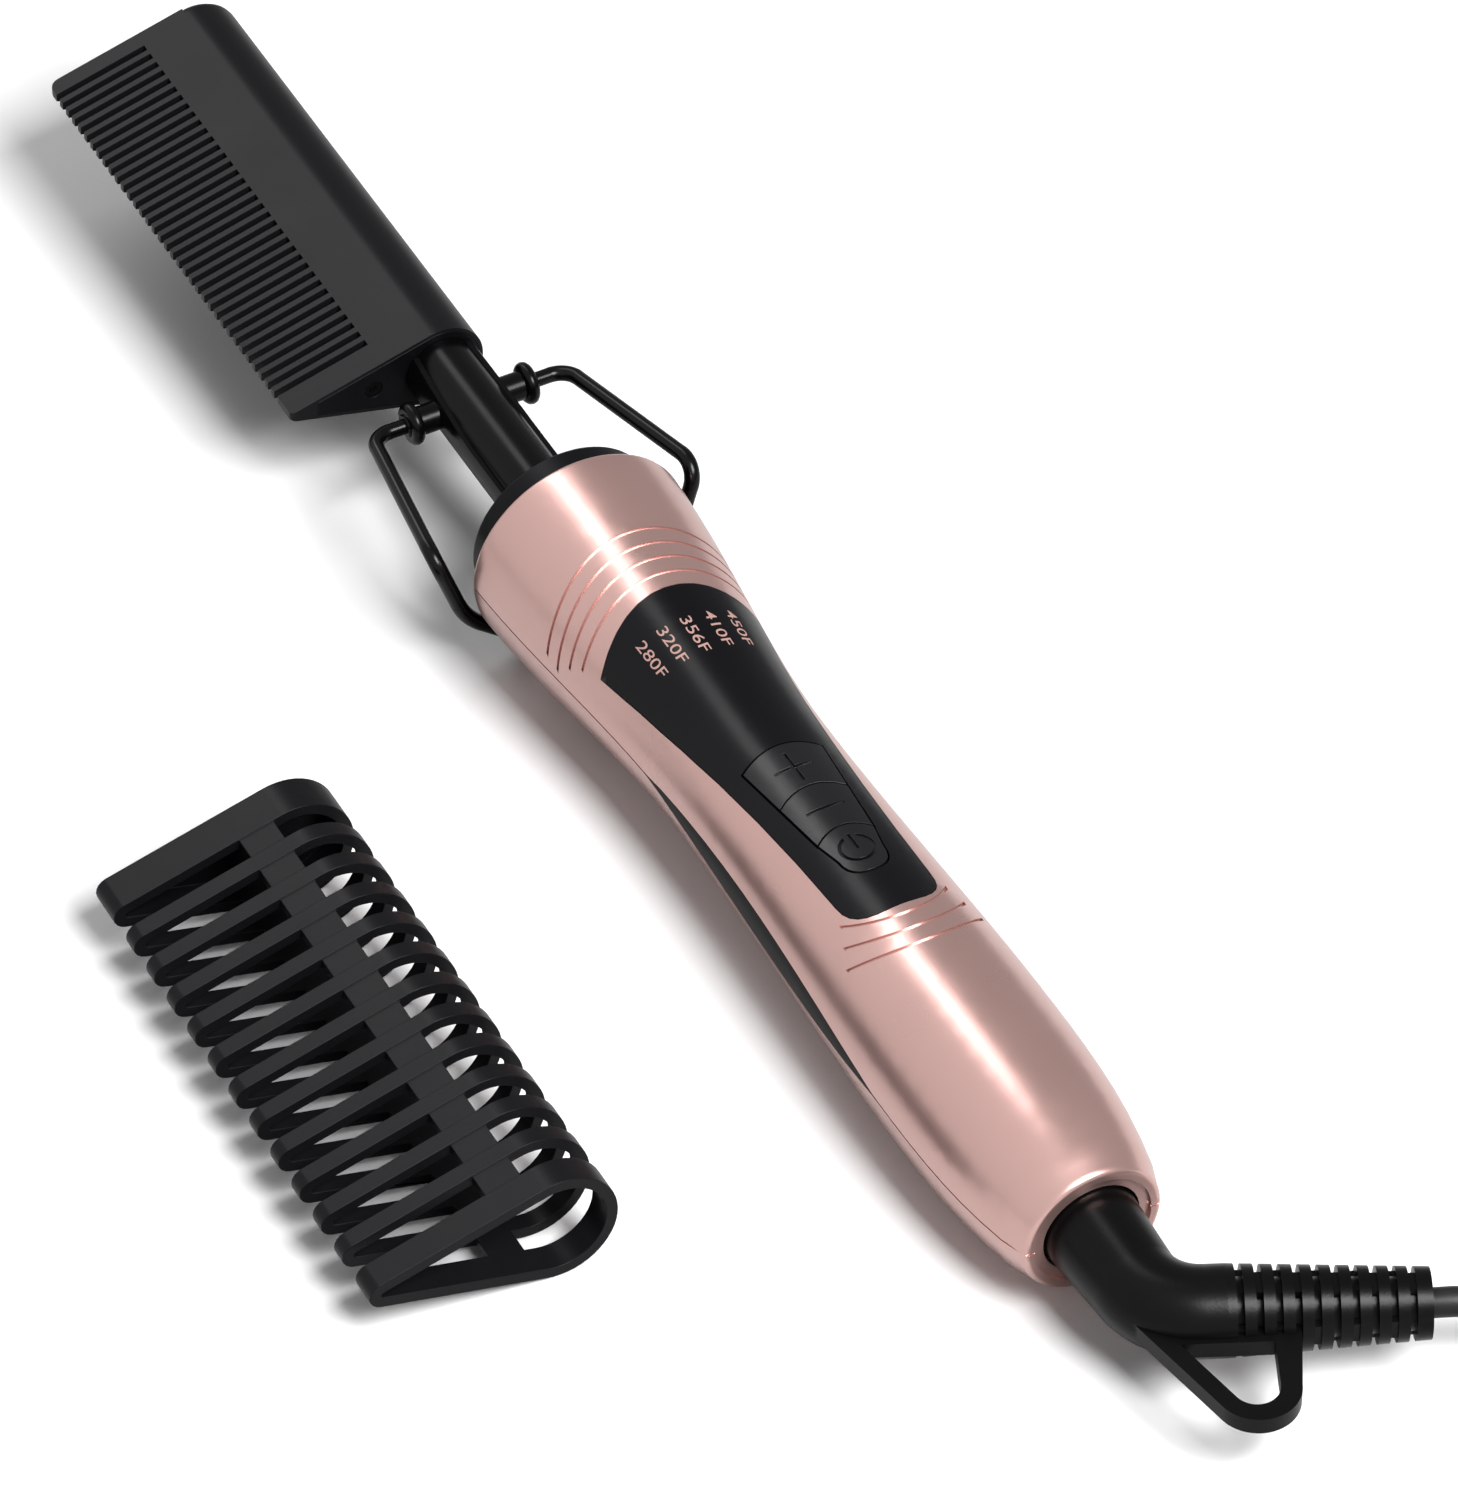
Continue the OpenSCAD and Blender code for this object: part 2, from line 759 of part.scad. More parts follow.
module side_inlay(side) {
    color("#141414")
        placed()
            difference() {
                intersection() {
                    grip_solid(0, inlay_x0 - 1, inlay_x1 + 1, 16);
                    rotate([90, 0, 0])
                        translate([0, 0, side > 0 ? -far : 0])
                            linear_extrude(far)
                                inlay_lens(0);
                }
                inlay_floor();
            }
}
module side_inlay_left() {
    side_inlay(-1);
}
module side_inlay_right() {
    side_inlay(1);
}

module front_collar() {
    color("#1a1a1a")
        placed()
            difference() {
                rotate([0, 90, 0])
                    rotate_extrude()
                        polygon(concat([[0, -collar_out]],
                            [for (a = [0:30:90])
                                [collar_r - collar_round * (1 - sin(a)),
                                    -collar_out + collar_round * (1 - cos(a))]],
                            [[collar_r, 0], [spigot_r, 0], [spigot_r, spigot_len], [0, spigot_len]]));
                rotate([0, 90, 0])
                    cylinder(h = spigot_len + 1, r = neck_r);
                translate([-collar_out - 1, 0, 0])
                    rotate([0, 90, 0])
                        cylinder(h = collar_out + 1, r = bracket_r + touch);
                for (s = [-1, 1])
                    translate([spigot_len - 6, s * collar_screw_y, 0])
                        rotate([0, 90, 0])
                            cylinder(h = 7, r = collar_screw_r);
            }
}

module neck_tube() {
    color("#1f1f1f")
        placed()
            difference() {
                union() {
                    rod([-neck_len - neck_seat, 0, 0], [spigot_len + flange_t, 0, 0], neck_r);
                    rod([spigot_len, 0, 0], [spigot_len + flange_t, 0, 0], neck_flange_r);
                }
                rod([-neck_len - neck_seat - 1, 0, 0], [spigot_len + flange_t + 1, 0, 0], neck_r - neck_wall);
                for (s = [-1, 1])
                    translate([spigot_len - 1, s * collar_screw_y, 0])
                        rod([0, 0, 0], [flange_t + 2, 0, 0], collar_screw_r);
            }
}

module stand_bracket() {
    color("#181818")
        placed()
            difference() {
                union() {
                    intersection() {
                        rod([-neck_len + free_gap, 0, 0], [-free_gap, 0, 0], bracket_r);
                        rotate([90, 0, 0])
                            translate([0, 0, -far])
                                linear_extrude(2 * far)
                                    polygon([[-neck_len, ear_end_top], [-pivot_x + 2, ear_top],
                                        [-pivot_x + 11, bracket_top], [1, bracket_top],
                                        [1, -far], [-neck_len, -far]]);
                    }
                    rod([-pivot_x, -pad_y, pivot_z], [-pivot_x, pad_y, pivot_z], pad_r);
                }
                rod([-neck_len - 1, 0, 0], [1, 0, 0], neck_r + touch);
            }
}

module pivot_studs() {
    y1 = pad_y + stem_len;
    y2 = y1 + flange_w;
    edge = flange_w / 2;
    color("#181818")
        placed()
            for (s = [-1, 1])
                translate([-pivot_x, 0, pivot_z])
                    rotate([-90 * s, 0, 0])
                        difference() {
                            rotate_extrude()
                                polygon(concat([[0, pad_y], [stud_stem_r, pad_y], [stud_stem_r, y1]],
                                    [for (a = [-90:30:90])
                                        [flange_r - edge + edge * cos(a), y1 + edge + edge * sin(a)]],
                                    [[hub_r, y2], [hub_r, stud_end_y - hub_edge],
                                        [hub_r - hub_edge, stud_end_y], [0, stud_end_y]]));
                            translate([0, 0, wire_end_y - 0.2])
                                cylinder(h = 10, r = wire_r + run_gap);
                        }
}

module stand_wire() {
    n = len(wire_corners);
    left = [for (p = wire_corners) [p[0], -p[1], p[2]]];
    right = [for (i = [n - 1:-1:0]) wire_corners[i]];
    bends = concat(wire_bends, [for (i = [n - 1:-1:0]) wire_bends[i]]);
    color("#101010")
        placed()
            wire(concat(left, right), bends, wire_r);
}

// Half thickness of the comb's wedge at y
function wedge_z(y) = blade_t / 2 + (flat_z - blade_t / 2) * (blade_y - y) / (blade_y - flat_y);
// Round back and wedge of the comb head drawn in by g, the wedge stopping short of the teeth
module plate_wedge(g) {
    y = blade_y - plate_short;
    polygon([[-y - plate_inset + g, wedge_z(y) - g], [-flat_y, flat_z - g],
        [-flat_y, -flat_z + g], [-y - plate_inset + g, -wedge_z(y) + g]]);
}
module head_extrude(x0, x1, g) {
    rod([x0, 0, 0], [x1, 0, 0], barrel_r - g);
    translate([x0, 0, 0])
        rotate([90, 0, 90])
            linear_extrude(x1 - x0)
                plate_wedge(g);
}
// Outline of the wedge seen from above: a larger corner at the tip, set in from the round back's end
module head_limits() {
    w = blade_y + barrel_r;
    tip_mid = tip_inset + tip_corner;
    translate([head_x0, -blade_y, -far / 2])
        linear_extrude(far)
            polygon(concat([[head_len, w], [tip_inset, w]],
                [for (a = [180:22.5:270])
                    [tip_mid + tip_corner * cos(a), tip_corner + tip_corner * sin(a)]],
                [for (a = [270:22.5:360])
                    [head_len - corner_round + corner_round * cos(a), corner_round + corner_round * sin(a)]]));
}

module comb_head() {
    color("#2b2b2b")
        placed()
            difference() {
                union() {
                    intersection() {
                        head_limits();
                        translate([head_x0, 0, 0])
                            rotate([90, 0, 90])
                                linear_extrude(head_len)
                                    polygon([[-blade_y, -blade_t / 2], [-blade_y, blade_t / 2],
                                        [-flat_y, flat_z], [-flat_y, -flat_z]]);
                    }
                    translate([head_x0, 0, 0])
                        rotate([0, 90, 0])
                            rotate_extrude()
                                polygon(concat([[0, 0]],
                                    [for (a = [0:22.5:90])
                                        [barrel_r - edge_round * (1 - sin(a)), edge_round * (1 - cos(a))]],
                                    [[barrel_r, head_len], [0, head_len]]));
                }
                for (i = [0:slot_count - 1])
                    translate([slot_x0 + tooth_pitch * i, -blade_y - 1, -far / 2])
                        cube([slot_w, blade_y + 1 - slot_root_y, far]);
                head_extrude(head_x1 - plate_t, head_x1 + 1, plate_inset);
                rod([head_x0 + bore_end_wall, 0, 0], [head_x1 + 1, 0, 0], heater_bore_r);
                rod([head_x1 - neck_seat, 0, 0], [head_x1 + 1, 0, 0], neck_r);
                rod([head_x1 - head_screw_len - 0.2, -head_screw_y, 0], [head_x1, -head_screw_y, 0],
                    screw_r);
            }
}

module head_end_plate() {
    color("#0e0e0e")
        placed()
            difference() {
                head_extrude(head_x1 - plate_t, head_x1, plate_inset + touch);
                rod([head_x1 - plate_t - 1, 0, 0], [head_x1 + 1, 0, 0], neck_r);
                rod([head_x1 - plate_t - 1, -head_screw_y, 0], [head_x1 + 1, -head_screw_y, 0], screw_r);
                rod([head_x1 - plate_t / 2, -head_screw_y, 0], [head_x1 + 1, -head_screw_y, 0],
                    head_screw_r + touch);
            }
}

module head_screw() {
    color("#303030")
        placed()
            translate([head_x1, -head_screw_y, 0])
                difference() {
                    union() {
                        rod([-head_screw_len, 0, 0], [-head_screw_sunk, 0, 0], screw_r);
                        rod([-plate_t / 2, 0, 0], [-head_screw_sunk, 0, 0], head_screw_r);
                    }
                    translate([-head_socket_deep, 0, 0])
                        rotate([0, 90, 0])
                            cylinder(h = 1, r = head_socket_r, $fn = 6);
                }
}

module heater_element() {
    color("#c9c2b4")
        placed()
            translate([heater_x0, -ptc_w / 2, -ptc_t / 2])
                cube([heater_len, ptc_w, ptc_t]);
}

module heater_film() {
    color("#b5762a")
        placed()
            difference() {
                translate([heater_x0 + 1, -ptc_w / 2 - film_t, -ptc_t / 2 - film_t])
                    cube([heater_len - 2, ptc_w + 2 * film_t, ptc_t + 2 * film_t]);
                translate([heater_x0, -ptc_w / 2, -ptc_t / 2])
                    cube([heater_len, ptc_w, ptc_t]);
            }
}

module heater_wedges() {
    slot = ptc_t / 2 + film_t;
    color("#b8bcc0")
        placed()
            difference() {
                rod([heater_x0, 0, 0], [heater_x1, 0, 0], wedge_r);
                translate([heater_x0 - 1, -far / 2, -slot])
                    cube([heater_len + 2, far, 2 * slot]);
            }
}

module thermistor() {
    color("#d8cfa0")
        placed()
            rod([heater_x1, 0, 0], [heater_x1 + sensor_len, 0, 0], sensor_r);
}

module heater_leads() {
    color("#e8e4da")
        placed() {
            for (s = [-1, 1]) {
                wire([[heater_x1, s * lead_y, 0], [lead_end_x, s * lead_y, 0],
                    [lead_end_x, s * lead_y, board_under]], [0, 2, 0], lead_r);
                wire([[heater_x1 + sensor_len, s * sensor_lead_y, 0], [lead_end_x - 2, s * sensor_lead_y, 0],
                    [lead_end_x - 2, s * sensor_lead_y, board_under]], [0, 1.5, 0], sensor_lead_r);
            }
        }
}

module circuit_board() {
    color("#1f6b3a")
        placed()
            difference() {
                translate([board_x0, -board_w / 2, board_under])
                    cube([board_x1 - board_x0, board_w, board_t]);
                for (x = post_x)
                    translate([x, 0, 0])
                        cylinder(h = far, r = board_screw_r);
            }
}

module leds() {
    color("#e7e3d2")
        placed()
            for (y = led_y)
                translate([led_x - led_w / 2, y - led_w / 2, board_top])
                    cube([led_w, led_w, led_h]);
}

module light_guide() {
    bar_z0 = board_top + led_h + seat_gap;
    span = board_w - 0.4;
    color("#dfe6ea")
        placed() {
            translate([led_x - guide_bar_w / 2, -span / 2, bar_z0])
                cube([guide_bar_w, span, guide_bar_h]);
            for (s = [-1, 1])
                translate([led_x, s * (led_y[4] + led_y[3]) / 2, board_top])
                    cylinder(h = led_h + seat_gap + 0.1, r = 0.8);
            intersection() {
                for (y = led_y)
                    translate([led_x, y, bar_z0 + guide_bar_h - 0.1])
                        cylinder(h = far, r = guide_r);
                grip_solid(panel_t + touch, led_x - 4, led_x + 4, 4);
            }
        }
}

module tact_switches() {
    color("#2a2a2c")
        placed()
            for (x = switch_x) {
                translate([x - switch_w / 2, -switch_w / 2, board_top])
                    cube([switch_w, switch_w, switch_h]);
                translate([x, 0, board_top + switch_h])
                    cylinder(h = plunger_h, r = plunger_r);
            }
}

module capacitor() {
    z = board_under - capacitor_r - touch;
    color("#b8322c")
        placed()
            rod([capacitor_x, 0, z], [capacitor_x + capacitor_len, 0, z], capacitor_r);
}

module triac() {
    color("#2b2b2b")
        placed()
            translate([triac_x, -triac_w / 2, board_under - triac_h])
                cube([triac_len, triac_w, triac_h]);
}

module fuse() {
    z = board_under - fuse_r - touch;
    color("#d9d9d0")
        placed()
            rod([fuse_x, 0, z], [fuse_x + fuse_len, 0, z], fuse_r);
}

module board_screws() {
    color("#c9ccd0")
        placed()
            for (x = post_x) {
                translate([x, 0, -board_screw_in])
                    cylinder(h = board_top + board_screw_in, r = board_screw_r);
                translate([x, 0, board_top])
                    cylinder(h = board_screw_head_h, r = board_screw_head_r);
            }
}

module shell_screws() {
    color("#3a3a3c")
        placed()
            for (p = screw_at) {
                translate([p[0], p[1], -boss_floor])
                    cylinder(h = boss_floor * 2 + 2, r = screw_r);
                translate([p[0], p[1], -boss_floor - screw_head_h])
                    cylinder(h = screw_head_h, r = screw_head_r - touch);
            }
}

module collar_screws() {
    color("#c9ccd0")
        placed()
            for (s = [-1, 1])
                translate([spigot_len + flange_t, s * collar_screw_y, 0]) {
                    rod([-flange_t - collar_screw_in, 0, 0], [0, 0, 0], collar_screw_r);
                    rod([0, 0, 0], [collar_head_h, 0, 0], collar_head_r);
                }
}

module swivel_socket() {
    color("#232323")
        placed()
            difference() {
                union() {
                    rod([tail_in - socket_len, 0, 0], [tail_in, 0, 0], socket_r);
                    translate([nose_x, -arm_w / 2, arm_top - arm_t])
                        cube([tail_in - socket_len + 1 - nose_x, arm_w, arm_t]);
                }
                rod([tail_in - socket_len - 1, 0, 0], [tail_in + 1, 0, 0], spindle_r + run_gap);
            }
}

module contact_springs() {
    color("#c8a24a")
        placed()
            for (i = [0, 1])
                translate([nose_x + 0.6 + i * slip_pitch, -leaf_w / 2, arm_top]) {
                    rise = -ring_r - run_gap - arm_top;
                    cube([slip_w - 0.4, leaf_w, leaf_t]);
                    cube([slip_w - 0.4, leaf_t, rise]);
                    translate([0, 0, rise - leaf_t])
                        cube([slip_w - 0.4, leaf_w, leaf_t]);
                }
}

module mains_leads() {
    z = arm_top - arm_t / 2;
    x = board_x1 - 1.5;
    color("#6b4a2a")
        placed()
            for (s = [-1, 1])
                wire([[nose_x, s * mains_y, z], [x, s * mains_y, z], [x, s * mains_y, board_under]],
                    [0, 2, 0], mains_r);
}

module slip_rings() {
    color("#c8a24a")
        placed()
            for (i = [0, 1])
                translate([nose_x + 0.4 + i * slip_pitch, 0, 0])
                    difference() {
                        rod([0, 0, 0], [slip_w, 0, 0], ring_r);
                        rod([-1, 0, 0], [slip_w + 1, 0, 0], nose_r);
                    }
}

module retaining_ring() {
    color("#8d9095")
        placed()
            difference() {
                rod([clip_x, 0, 0], [clip_x + clip_w, 0, 0], clip_r);
                rod([clip_x - 1, 0, 0], [clip_x + clip_w + 1, 0, 0], clip_groove_r);
            }
}

// Flat hang loop in the elbow's plane: u runs along the lead, v away from the grip
module loop_plate() {
    reach = loop_tip - loop_root;
    slant = atan2(reach[1], reach[0]) + asin(loop_tip_r / norm(reach));
    side = [-sin(slant), cos(slant)];
    outer = loop_tip + loop_tip_r * side;
    inner = loop_hole + loop_hole_r * side;
    linear_extrude(loop_t, center = true)
        difference() {
            union() {
                polygon([loop_root, outer, [loop_tip[0] + loop_tip_r, loop_tip[1]],
                    [loop_tip[0] + loop_tip_r + 1, 4], [-8, 2]]);
                translate(loop_tip)
                    circle(loop_tip_r);
            }
            polygon([inner, [loop_hole[0] + loop_hole_r, loop_hole[1]],
                [loop_hole[0] + loop_hole_r, loop_floor],
                [inner[0] - (inner[1] - loop_floor) / tan(slant), loop_floor]]);
            translate(loop_hole)
                circle(loop_hole_r);
        }
}

function relief_radius(z) = relief_r + (relief_end_r - relief_r) * z / relief_len;
module ribbed_relief() {
    cylinder(h = relief_len, r1 = relief_r * relief_core, r2 = relief_end_r * relief_core);
    for (i = [0:rib_count]) {
        z0 = i == 0 ? 0 : rib_first + (i - 1) * rib_pitch + rib_slot;
        z1 = i == rib_count ? relief_len : rib_first + i * rib_pitch;
        translate([0, 0, z0])
            cylinder(h = z1 - z0, r1 = relief_radius(z0), r2 = relief_radius(z1));
        if (i < rib_count)
            translate([0, 0, z1 + rib_slot / 2])
                rotate([0, 0, (i + 1) % 2 * 90])
                    cube([2 * relief_radius(z1) * bridge_reach, relief_radius(z1) * bridge_w, rib_slot + 0.1],
                        center = true);
    }
}

module swivel_elbow() {
    tail_seat = tail_in + seat_gap;
    bend_x0 = elbow_x - bend_run;
    color("#151515")
        placed()
            difference() {
                union() {
                    rod([nose_x, 0, 0], [spindle_x0, 0, 0], nose_r);
                    rod([spindle_x0, 0, 0], [tail_seat, 0, 0], spindle_r);
                    translate([tail_seat, 0, 0])
                        rotate([0, 90, 0])
                            cylinder(h = bend_x0 + wire_lap - tail_seat, r1 = elbow_r, r2 = relief_r);
                    bend([0, 0, 0], [elbow_x, 0, 0], [elbow_x, 0, 0] + elbow_dir, elbow_bend,
                        relief_r + wire_swell);
                    rod(relief_start - (elbow_arm - bend_run + wire_lap) * elbow_dir, relief_start, relief_r);
                    multmatrix(turned([0, 0, 1], elbow_out, elbow_dir, relief_start))
                        ribbed_relief();
                    multmatrix(turned(elbow_dir, elbow_out, [0, 0, -1], relief_start))
                        loop_plate();
                }
                difference() {
                    rod([clip_x - touch, 0, 0], [clip_x + clip_w + touch, 0, 0], spindle_r + 1);
                    rod([clip_x - 1, 0, 0], [clip_x + clip_w + 1, 0, 0], clip_groove_r);
                }
            }
}

// A key: a cap that follows the grip's surface, with a stem over its switch
module key_cap(x) {
    difference() {
        intersection() {
            linear_extrude(far)
                children();
            grip_solid(-key_proud, key_x0 - 4, key_end + 3, 12);
        }
        grip_solid(key_skirt, key_x0 - 5, key_end + 4, 12);
    }
    translate([x, 0, plunger_top + key_travel + touch])
        cylinder(h = grip_r(x) - key_skirt / 2 - plunger_top - key_travel, r = stem_r);
}
module symbol_bar(x, along, across) {
    translate([x - along / 2, -across / 2, grip_r(x) - symbol_cut])
        cube([along, across, 2]);
}

module plus_button() {
    color("#262626")
        placed()
            difference() {
                key_cap(switch_x[0])
                    key_outline(key_x0, key_x1 - key_gap, 0);
                symbol_bar(switch_x[0] - sign_back, symbol_w, sign_len);
                symbol_bar(switch_x[0] - sign_back, sign_len, symbol_w);
            }
}
module minus_button() {
    color("#262626")
        placed()
            difference() {
                key_cap(switch_x[1])
                    key_outline(key_x1, key_x2 - key_gap, 0);
                symbol_bar(switch_x[1] - sign_back, symbol_w, sign_len);
            }
}
module power_button() {
    x = switch_x[2];
    color("#262626")
        placed()
            difference() {
                key_cap(x)
                    power_outline(0);
                difference() {
                    translate([x, 0, grip_r(x) - symbol_cut])
                        difference() {
                            cylinder(h = 2, r = power_ring_r);
                            translate([0, 0, -1])
                                cylinder(h = 4, r = power_ring_r - symbol_w);
                        }
                    symbol_bar(x - power_ring_r, power_gap, power_gap);
                }
                symbol_bar(x - power_ring_r / 2, power_ring_r + symbol_w, symbol_w);
            }
}

function arc(x, r, from, to, n) =
    [for (i = [0:n]) let (a = from + (to - from) * i / n) [x + r * cos(a), r * sin(a)]];
// Outline of the guard: a round back and a pointed edge, drawn in by g
module guard_outline(g) {
    polygon(concat(arc(0, guard_r - g, guard_slant, -guard_slant, 30),
        arc(-guard_w, guard_tip_r - g, -guard_slant, guard_slant - 360, 8)));
}
module guard_ring(x, t, inset) {
    translate([x, 0, 0])
        rotate([90, 0, 90])
            linear_extrude(t)
                difference() {
                    guard_outline(inset);
                    guard_outline(guard_wall);
                }
}

module comb_cover() {
    step = (guard_len - guard_cap_t - guard_mouth_t - guard_rings * ring_t) / (guard_rings + 1) + ring_t;
    color("#1c1c1c")
        translate([guard_pos[0] - mid_x, guard_pos[1] - mid_y, guard_r])
            rotate([0, 0, guard_yaw]) {
                rotate([90, 0, 90])
                    linear_extrude(guard_end_wall)
                        guard_outline(0);
                guard_ring(0, guard_cap_t, 0);
                guard_ring(guard_len - guard_mouth_t, guard_mouth_t, 0);
                for (i = [1:guard_rings])
                    guard_ring(guard_cap_t + i * step - ring_t, ring_t, 0);
                intersection() {
                    guard_ring(1, guard_len - 2, guard_bar_sink);
                    translate([0, guard_bar_y, -far])
                        cube([guard_len, guard_bar_w, 2 * far]);
                }
            }
}

// Turns a point beside the grip's axis into its resting place
function in_row(p) = [
    p[0] * cos(lean) + p[2] * sin(lean) - mid_x,
    p[1] - mid_y,
    ride + p[2] * cos(lean) - p[0] * sin(lean)
];

// Tube of the given number of sides through a list of points, each ring square to the way there
function tube_ring(c, dir, r, sides) =
    let (x = unit(cross([0, 0, 1], dir)), y = cross(dir, x))
    [for (k = [0:sides - 1]) c + r * (cos(360 * k / sides) * x + sin(360 * k / sides) * y)];
function way(pts, i) = unit(pts[min(i + 1, len(pts) - 1)] - pts[max(i - 1, 0)]);
module tube(pts, r, sides) {
    n = len(pts);
    points = [for (i = [0:n - 1]) each tube_ring(pts[i], way(pts, i), r, sides)];
    skin = [for (i = [0:n - 2], k = [0:sides - 1], half = [0, 1])
        let (a = i * sides + k, b = i * sides + (k + 1) % sides)
            half == 0 ? [a, a + sides, b] : [b, a + sides, b + sides]];
    start = [for (k = [1:sides - 2]) [0, k, k + 1]];
    end = [for (k = [1:sides - 2]) [(n - 1) * sides, (n - 1) * sides + k + 1, (n - 1) * sides + k]];
    polyhedron(points, concat(start, skin, end));
}

module power_cord() {
    color("#121212")
        tube(cord_route, cord_r, 10);
}

module cord_coil() {
    color("#121212")
        tube(coil_line, cord_r, 6);
}

module plug_lead() {
    color("#121212")
        tube(plug_route, cord_r, 10);
}

module cord_tie() {
    low = tie_t + 0.05;
    inner = coil_in - cord_r - seat_gap;
    outer = tie_out + cord_r + seat_gap;
    top = coil_lift + cord_d + (coil_layers - 1) * coil_rise + seat_gap;
    color("#1a1a1a")
        translate(coil_pos)
            rotate([0, 0, tie_angle])
                translate([0, tie_w / 2, 0])
                    rotate([90, 0, 0])
                        linear_extrude(tie_w)
                            difference() {
                                translate([inner - tie_t, 0])
                                    square([outer - inner + 2 * tie_t, top + tie_t]);
                                translate([inner, low])
                                    square([outer - inner, top - low]);
                            }
}

// The plug lies flat, its lead entering from behind
module plug_frame() {
    multmatrix(turned(plug_dir, [-plug_dir[1], plug_dir[0], 0], [0, 0, 1], plug_at))
        children();
}
module plug_body() {
    shoulder = plug_len * 0.55;
    color("#161616")
        plug_frame()
            difference() {
                union() {
                    rotate([0, 90, 0])
                        cylinder(h = plug_neck + 1, r1 = cord_r + 1.2, r2 = plug_h / 2 - 2.2);
                    for (i = [1:plug_ribs])
                        translate([i * plug_neck / (plug_ribs + 1), 0, 0])
                            rotate([0, 90, 0])
                                cylinder(h = 1.3, r = cord_r + 1.6 + i * 0.35);
                    intersection() {
                        translate([plug_neck, 0, -plug_h / 2])
                            linear_extrude(plug_h)
                                polygon([[0, -plug_w / 3], [shoulder, -plug_w / 2],
                                    [plug_len - 2, -plug_w / 2], [plug_len, -plug_w / 2 + 2],
                                    [plug_len, plug_w / 2 - 2],
                                    [plug_len - 2, plug_w / 2], [shoulder, plug_w / 2], [0, plug_w / 3]]);
                        translate([plug_neck, plug_w, 0])
                            rotate([90, 0, 0])
                                linear_extrude(2 * plug_w)
                                    polygon([[0, -plug_h / 2 + 1.5], [4, -plug_h / 2],
                                        [plug_len - 1, -plug_h / 2], [plug_len, -plug_h / 2 + 1],
                                        [plug_len, plug_h / 2 - 1], [plug_len - 1, plug_h / 2],
                                        [4, plug_h / 2], [0, plug_h / 2 - 1.5]]);
                    }
                }
                blades(touch);
            }
}
module blades(g) {
    x0 = plug_neck + plug_len - blade_in;
    for (s = [-1, 1])
        translate([x0 - g, s * blade_gap / 2 - blade_thick / 2 - g, -blade_high / 2 - g])
            cube([blade_out + blade_in + g, blade_thick + 2 * g, blade_high + 2 * g]);
}
module plug_pins() {
    color("#c9ccd0")
        plug_frame()
            difference() {
                blades(0);
                translate([plug_neck + plug_len + blade_out - 3.6, far / 2, 0])
                    rotate([90, 0, 0])
                        cylinder(h = far, r = 1.6);
            }
}

echo(str("Least gap of the coil to itself: ", coil_gap, " mm"));
echo(str("Length of the lead: ", path_len(cord_route) + path_len(coil_line) + path_len(plug_route), " mm"));

upper_shell();
lower_shell();
control_panel();
side_inlay_left();
side_inlay_right();
front_collar();
neck_tube();
stand_bracket();
pivot_studs();
comb_head();
head_end_plate();
head_screw();
heater_element();
heater_film();
heater_wedges();
thermistor();
heater_leads();
circuit_board();
leds();
light_guide();
tact_switches();
capacitor();
triac();
fuse();
board_screws();
shell_screws();
collar_screws();
mains_leads();
swivel_socket();
contact_springs();
slip_rings();
retaining_ring();
swivel_elbow();
stand_wire();
plus_button();
minus_button();
power_button();
power_cord();
cord_coil();
plug_lead();
cord_tie();
plug_body();
plug_pins();
comb_cover();
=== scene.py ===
import json
import math

import bmesh
import bpy
from mathutils import Matrix, Vector
from mathutils.bvhtree import BVHTree


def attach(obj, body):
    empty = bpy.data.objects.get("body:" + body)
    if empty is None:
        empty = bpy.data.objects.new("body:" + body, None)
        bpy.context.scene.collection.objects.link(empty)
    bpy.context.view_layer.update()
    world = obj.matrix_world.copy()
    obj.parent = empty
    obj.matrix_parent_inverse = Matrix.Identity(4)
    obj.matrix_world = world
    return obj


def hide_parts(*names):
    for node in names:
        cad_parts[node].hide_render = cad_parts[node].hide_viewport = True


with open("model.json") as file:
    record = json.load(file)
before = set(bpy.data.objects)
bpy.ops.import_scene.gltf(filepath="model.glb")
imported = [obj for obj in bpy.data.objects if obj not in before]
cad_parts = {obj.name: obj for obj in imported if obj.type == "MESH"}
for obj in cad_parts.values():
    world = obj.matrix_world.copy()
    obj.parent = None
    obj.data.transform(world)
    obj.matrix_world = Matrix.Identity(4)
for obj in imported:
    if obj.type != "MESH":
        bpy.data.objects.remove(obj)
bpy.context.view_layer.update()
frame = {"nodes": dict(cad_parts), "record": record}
scene = bpy.context.scene
node_body = {n: body for body, nodes in frame["record"]["behaviour"]["bodies"].items() for n in nodes}
node_slot = {part["node"]: part["material_slot"] for part in frame["record"]["subparts"]}

# ---------------------------------------------------------------------------------------------
# Camera: a long lens high over the lead's side of the comb, as a catalogue picture is taken.
# ---------------------------------------------------------------------------------------------
camera_aim = Vector((0.013796, 0.02909, 0.015))
camera_distance = 1.33625
camera_azimuth = math.radians(62.937)
camera_elevation = math.radians(42.839)
camera_roll = math.radians(-1.264)
camera_back = Vector((
    math.sin(camera_azimuth) * math.cos(camera_elevation),
    -math.cos(camera_azimuth) * math.cos(camera_elevation),
    math.sin(camera_elevation),
))
camera_data = bpy.data.cameras.new("camera")
camera_data.sensor_width = 36
camera_data.lens = 217.96
camera_data.clip_end = 10
camera = bpy.data.objects.new("camera", camera_data)
scene.collection.objects.link(camera)
turn = camera_back.to_track_quat("Z", "Y").to_matrix().to_4x4() @ Matrix.Rotation(camera_roll, 4, "Z")
camera.matrix_world = Matrix.Translation(camera_aim + camera_back * camera_distance) @ turn
scene.camera = camera

